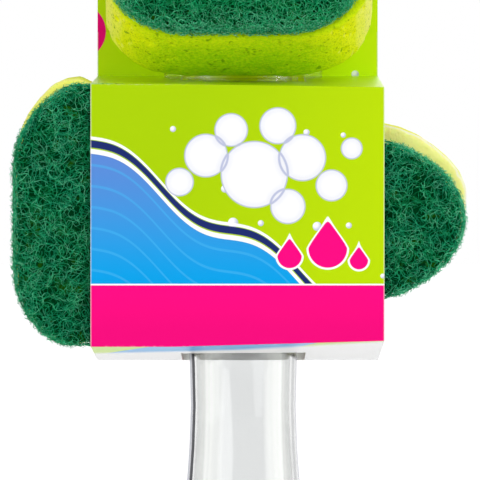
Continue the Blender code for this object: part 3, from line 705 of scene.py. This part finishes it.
# web is the thin pale strands on top, frizz the loose ones round the rim
web = {"share": 0.26, "tone": 0.84, "radius": 0.000048, "depth": 0.15, "curl": 0.6, "step": 1.35}
frizz = {"root": -0.0006, "rise": 0.0009, "curl": 0.5, "step": 0.00035, "jitter": 0.35,
         "wave": 0.0001, "radius": 0.00006, "tone": 0.66, "spread": 0.3, "rightHighlight": 0.25,
         "rightHighlightFrom": (0.02, 0.04), "sleeveHalf": 0.038}
# where the fitted pad is worn, in millimetres
worn = {"above": -122, "low": (-107, -115), "side": (21, 28), "sideLow": (-90, -104)}


def coreShadeFinish():
    paint = Finish("scourerShadeCore")
    place = paint.place()
    cloud = paint.grain(place, 0.8, 4, 0.7)
    # painted shade: the core is dark green for the shade deep among the fibres
    colour = paint.mix(cloud, tint("002A12"), tint("004A26"))
    olive = paint.ease(paint.grain(place, 3.5, 2, 0.5), 0.58, 0.68)
    colour = paint.mix(olive * 0.7, colour, tint("2C6400"))
    return paint.close({"Base Color": colour, "Roughness": 0.9, "Specular IOR Level": 0.0,
                        "Normal": paint.bump(cloud, 0.5, 1.0)})


def fibreFinish():
    paint = Finish("scourerFibres")
    place = paint.place()
    x, _, z = paint.parts(place)
    tone = paint.add("Attribute", {"attribute_name": "tone"}, out="Fac")
    colour = paint.add("ValToRGB", {"stops": (
        (0.0, tint("004A22")), (0.3, tint("007E42")), (0.6, tint("0EAC68")),
        (0.82, tint("3CDC9C")), (1.0, tint("8CF8C4")))}, {"Fac": tone})
    grit = paint.grain(place, 0.3, 2)
    colour = paint.mix(grit * 0.3, colour, tint("005A30"))
    teal = paint.ease(paint.grain(place, 5, 3, 0.6), 0.42, 0.66)
    colour = paint.mix(teal * 0.28, colour, tint("1CAC88"))
    fitted = z > worn["above"]     # both pads share the finish, and the fitted one is above
    colour = paint.mix(fitted * 0.24, colour, tint("00D474"))
    sides = paint.ease(abs(x), *worn["side"]) * paint.ease(z, *worn["sideLow"])
    frayed = paint.ease(z, *worn["low"]).most(sides) * fitted     # its worn heel
    fleck = paint.grain(place, 0.5, 3, 0.65)
    colour = paint.mix(frayed * paint.ease(fleck, 0.52, 0.62) * 0.5, colour, tint("B4F4E0"))
    colour = paint.mix(frayed * paint.ease(fleck, 0.47, 0.39) * 0.45, colour, tint("002C18"))
    return paint.close({"Base Color": colour, "Roughness": 0.5 + 0.2 * grit,
                        "Specular IOR Level": 0.08})


def surfaceOf(piece):
    tree = BVHTree.FromPolygons([v.co for v in piece.data.vertices],
                                [list(p.vertices) for p in piece.data.polygons])
    piece.data.calc_loop_triangles()
    corners = np.array([[piece.data.vertices[i].co for i in t.vertices]
                        for t in piece.data.loop_triangles])
    return tree, corners


def startPoints(corners, out, count, rng, rimOnly=False):
    edges = np.cross(corners[:, 1] - corners[:, 0], corners[:, 2] - corners[:, 0])
    areas = np.linalg.norm(edges, axis=1)
    facing = (edges @ np.array(out)) / np.maximum(areas, 1e-15)
    rim = np.abs(facing) < 0.6
    areas = areas * (rim if rimOnly else (facing > -0.4) * np.where(rim, fibreWork["rimShare"], 1))
    chosen = rng.choice(len(corners), count, p=areas / areas.sum())
    a, b = rng.random((2, count, 1))
    folded = a + b > 1
    a, b = np.where(folded, 1 - a, a), np.where(folded, 1 - b, b)
    first, second, third = corners[chosen].transpose(1, 0, 2)
    return first + a * (second - first) + b * (third - first)


def walkFibres(tree, starts, heights, steps, segments, curls, jitter, wave, rng):
    count = len(starts)
    lines = np.zeros((count, segments + 1, 3))
    ups = np.zeros_like(lines)
    for n in range(count):
        place = Vector(starts[n])
        angle = rng.random() * 2 * math.pi
        phase, pace, bend = rng.random() * 2 * math.pi, 0.6 + 0.9 * rng.random(), 0.0
        heading = Vector((math.cos(angle), rng.normal(), math.sin(angle)))
        for i in range(segments + 1):
            near, normal, _, _ = tree.find_nearest(place)
            heading = (heading - normal * heading.dot(normal)).normalized()
            height = heights[n][0] + (heights[n][1] - heights[n][0]) * i / segments
            height += wave * math.sin(phase + pace * i)
            lines[n, i] = near + normal * height
            ups[n, i] = normal
            bend = 0.5 * bend + jitter * rng.normal()
            turn = Matrix.Rotation(curls[n] + bend, 3, normal)
            heading = turn @ heading
            place = near + heading * steps[n]
    return lines, ups


def tubes(lines, ups, radii):     # three-sided strands, closed at both ends
    count, rings, _ = lines.shape
    along = np.gradient(lines, axis=1)
    along /= np.maximum(np.linalg.norm(along, axis=2, keepdims=True), 1e-12)
    side = np.cross(along, ups)
    side /= np.maximum(np.linalg.norm(side, axis=2, keepdims=True), 1e-12)
    lift = np.cross(side, along)
    taper = np.ones(rings)
    taper[0] = taper[-1] = 0.45
    verts = np.zeros((count, rings, 3, 3))
    for k in range(3):
        angle = 2 * math.pi * k / 3 + math.pi / 2
        ring = math.cos(angle) * side + math.sin(angle) * lift
        verts[:, :, k] = lines + ring * (radii[:, None, None] * taper[None, :, None])
    first = (np.arange(count) * rings * 3)[:, None, None]
    ring = (np.arange(rings - 1) * 3)[None, :, None]
    k = np.arange(3)[None, None, :]
    after = (k + 1) % 3
    quads = np.stack([first + ring + k, first + ring + after, first + ring + 3 + after,
                      first + ring + 3 + k], axis=-1).reshape(-1, 4)
    last = (rings - 1) * 3
    start = (np.arange(count) * rings * 3)[:, None]
    caps = np.concatenate([start + np.array([0, 2, 1]), start + last + np.array([0, 1, 2])])
    return verts.reshape(-1, 3), quads, caps


def meshOf(name, verts, quads, caps, tones):
    mesh = bpy.data.meshes.new(name)
    mesh.vertices.add(len(verts))
    mesh.vertices.foreach_set("co", verts.astype(np.float32).ravel())
    loops = np.concatenate([quads.ravel(), caps.ravel()])
    sizes = np.concatenate([np.full(len(quads), 4), np.full(len(caps), 3)])
    mesh.loops.add(len(loops))
    mesh.loops.foreach_set("vertex_index", loops.astype(np.int32))
    mesh.polygons.add(len(sizes))
    begins = np.concatenate([[0], np.cumsum(sizes)[:-1]])
    mesh.polygons.foreach_set("loop_start", begins.astype(np.int32))
    mesh.polygons.foreach_set("use_smooth", np.ones(len(sizes), bool))
    mesh.update(calc_edges=True)
    tone = mesh.attributes.new("tone", "FLOAT", "POINT")
    tone.data.foreach_set("value", tones.astype(np.float32))
    piece = bpy.data.objects.new(name, mesh)
    bpy.context.scene.collection.objects.link(piece)
    return piece


def makeScourer(side, core, fibres):
    head, work = heads[side], fibreWork[side]
    node = side + "_scourer"
    rng = np.random.default_rng(head["seed"] + 100)
    body = copyOfNode(node, node + "_core")
    setPoints(body, (swellSpare if side == "spare" else settleHeel)(points(body), False))
    tree, corners = surfaceOf(body)

    count = work["count"]
    starts = startPoints(corners, head["out"], count, rng)
    depth = rng.random(count) ** 1.3
    hollow = np.array([noise.noise(Vector(place) / fibreWork["hollow"]) for place in starts + 0.7])
    depth = np.clip(depth + 0.9 * np.clip(hollow - 0.12, 0, 1), 0, 1)     # painted shade: strands in the pockets sit deeper and are painted darker
    onTop = rng.random(count) < web["share"]     # thin pale strands
    depth[onTop] *= web["depth"]
    level = work["proud"] * 0.4 - fibreWork["deep"] * depth
    heights = np.stack([level, level + rng.normal(0, fibreWork["tilt"], count)], axis=1)
    heights = np.minimum(heights, work["proud"] * 0.6)
    low, high = fibreWork["curl"]
    curls = (low + (high - low) * rng.random(count)) * rng.choice([-1, 1], count)
    steps = fibreWork["step"] * (0.75 + 0.5 * rng.random(count))
    curls[onTop] *= web["curl"]
    steps[onTop] *= web["step"]
    lines, ups = walkFibres(tree, starts, heights, steps, fibreWork["segments"], curls,
                            fibreWork["jitter"], min(fibreWork["wave"], work["proud"] * 0.6), rng)
    low, high = fibreWork["radius"]
    radii = low + (high - low) * rng.random(count)
    patches = np.array([noise.noise(Vector(place) / fibreWork["patch"]) for place in starts])
    rimness = 1 - np.abs(ups[:, 0] @ np.array(head["out"]))
    # painted shade: deeper strands are painted darker
    tones = strandTone["middle"] - strandTone["shadePerDepth"] * depth + strandTone["perPatch"] * patches
    tones = tones + rng.normal(0, strandTone["spread"], count)
    tones += rimness * (rng.normal(0, strandTone["rimSpread"], count) - strandTone["rimShade"])
    tones[onTop] = web["tone"] + rng.normal(0, 0.1, onTop.sum())
    radii[onTop] = web["radius"]

    loose = work["frizz"]
    starts = startPoints(corners, head["out"], loose, rng, rimOnly=True)
    if side == "spare":     # inside the sleeve the rim has no room for frizz
        starts = starts[np.abs(starts[:, 0]) > frizz["sleeveHalf"]]
        loose = len(starts)
    ends = 0.0001 + frizz["rise"] * rng.random(loose) ** 2
    heights = np.stack([np.full(loose, frizz["root"]), ends], axis=1)
    curls = rng.normal(0, frizz["curl"], loose)
    steps = np.full(loose, frizz["step"])
    frizzLines, frizzUps = walkFibres(tree, starts, heights, steps, fibreWork["segments"], curls,
                                      frizz["jitter"], frizz["wave"], rng)
    lines = np.concatenate([lines, frizzLines])
    ups = np.concatenate([ups, frizzUps])
    radii = np.concatenate([radii, np.full(loose, frizz["radius"])])
    # painted highlight: the frizz is paler towards the right-hand rim
    rightHighlight = frizz["rightHighlight"] * easeBetween(starts[:, 0], *frizz["rightHighlightFrom"])
    tones = np.concatenate([tones, frizz["tone"] + rightHighlight + rng.normal(0, frizz["spread"], loose)])
    glints = rng.normal(0, work["glint"], lines.shape[:2])     # light and dark lengths of a strand
    tones = np.clip(tones[:, None] + glints, 0.02, 0.98)

    verts, quads, caps = tubes(lines, ups, radii)
    strands = meshOf(node + "_fibres", verts, quads, caps, np.repeat(tones.ravel(), 3))
    settle(strands, fibres, head["body"])
    print(strands.name, len(strands.data.polygons), "faces")

    out = np.array(head["out"])
    heights = points(body) @ out
    glued = heights < heights.min() + fibreWork["glued"]
    applyModifier(body, "DISPLACE", strength=-fibreWork["coreDepth"], mid_level=0.0)
    places = points(body)     # the glued side stays down on the foam
    lift = np.where(glued, heights.min() - fibreWork["glueGap"] - places @ out, 0)
    setPoints(body, places + np.outer(lift, out))
    smooth(body, 60)
    settle(body, core, head["body"], node)


foams = {"fitted": foamFinish("usedFoam", "fitted", 0.0),
         "spare": foamFinish("freshFoam", "spare", 0.5)}
core = coreShadeFinish()
fibres = fibreFinish()
for side in heads:
    makeFoam(side, foams[side])
    makeScourer(side, core, fibres)
    print("the", side, "head is made")


scene = bpy.context.scene
scene.view_settings.view_transform = "Standard"
